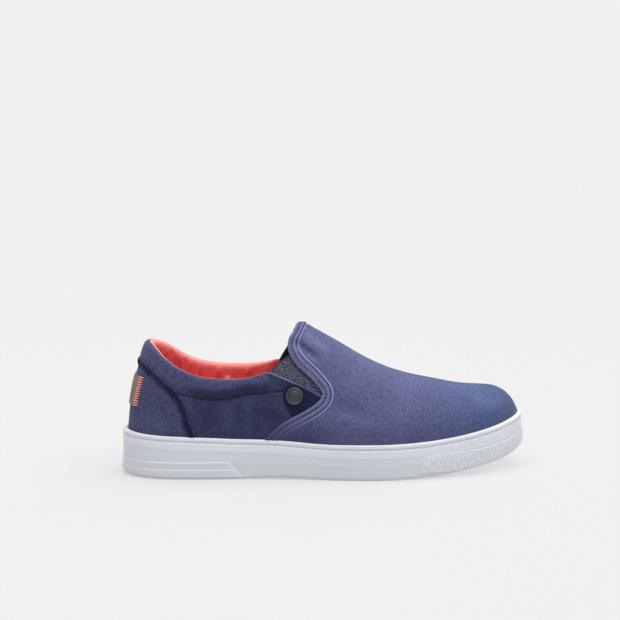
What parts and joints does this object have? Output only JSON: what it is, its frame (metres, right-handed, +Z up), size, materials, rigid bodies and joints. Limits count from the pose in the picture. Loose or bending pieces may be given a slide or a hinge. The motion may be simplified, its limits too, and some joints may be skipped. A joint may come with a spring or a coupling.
{
  "type": "slip-on sneaker",
  "caption": "Low slip-on sneaker for the right foot: hollow cloth upper with padded collar and elastic side gores, on a moulded rubber cup sole.",
  "frame": {"origin": "on the floor, under the middle of the shoe's bounding box", "axes": "+X from heel to toe, +Z up, +Y towards the inner side of the foot, so the outer side faces -Y"},
  "size_m": [0.2928, 0.1062, 0.1076],
  "materials": {
    "sole_rubber": "smooth satin moulded rubber, off-white",
    "footbed": "coral cloth over foam",
    "canvas": "washed indigo cotton canvas, coral cloth lining",
    "elastic": "dark slate ribbed elastic",
    "badge": "smooth dark navy, satin",
    "heel_leather": "matt taupe",
    "dark_metal": "dark grey enamel, satin"
  },
  "bodies": {
    "root": {"cup_sole": "sole_rubber", "insole": "footbed", "upper": "canvas", "gore_outer": "elastic", "gore_inner": "elastic", "badge_patch": "badge", "heel_patch": "heel_leather", "snap_button": "dark_metal"}
  },
  "joints": []
}
